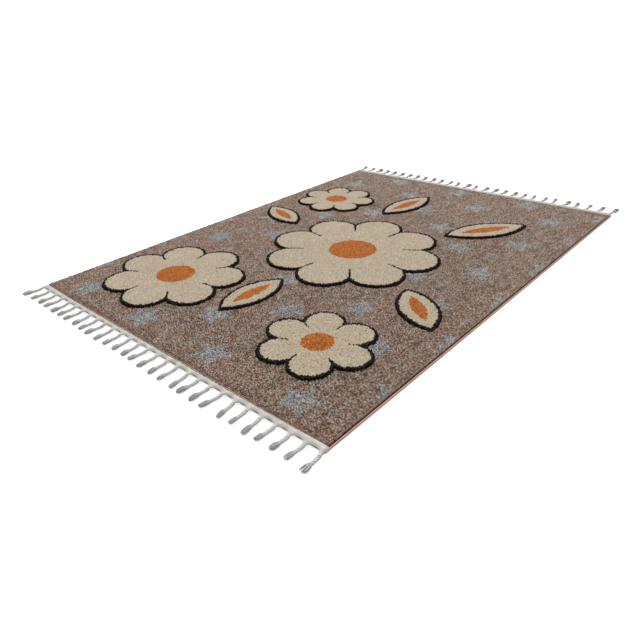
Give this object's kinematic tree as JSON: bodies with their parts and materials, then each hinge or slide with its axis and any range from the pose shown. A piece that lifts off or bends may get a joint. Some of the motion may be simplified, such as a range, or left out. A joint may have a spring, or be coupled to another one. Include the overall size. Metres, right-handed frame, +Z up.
{
  "type": "children's rug",
  "caption": "Rectangular woven children's rug with raised flower and leaf pile, flat woven stars, overcast sides and a tied tassel fringe along each end.",
  "frame": {"origin": "on the floor under the middle of the rug", "axes": "+Y along the rug from the near fringe to the far fringe, +X across it, +Z up from the floor through the pile"},
  "size_m": [1.224, 1.876, 0.02],
  "materials": {
    "pile": "heathered taupe synthetic pile, matte, with cream, orange, black and grey-blue woven areas",
    "binding": "salmon overcast yarn, matte",
    "fringe": "cream cotton tape and tassel yarn, matte"
  },
  "bodies": {
    "root": {"pile_field": "pile", "side_binding_left": "binding", "side_binding_right": "binding", "fringe_near": "fringe", "fringe_far": "fringe"}
  },
  "joints": []
}
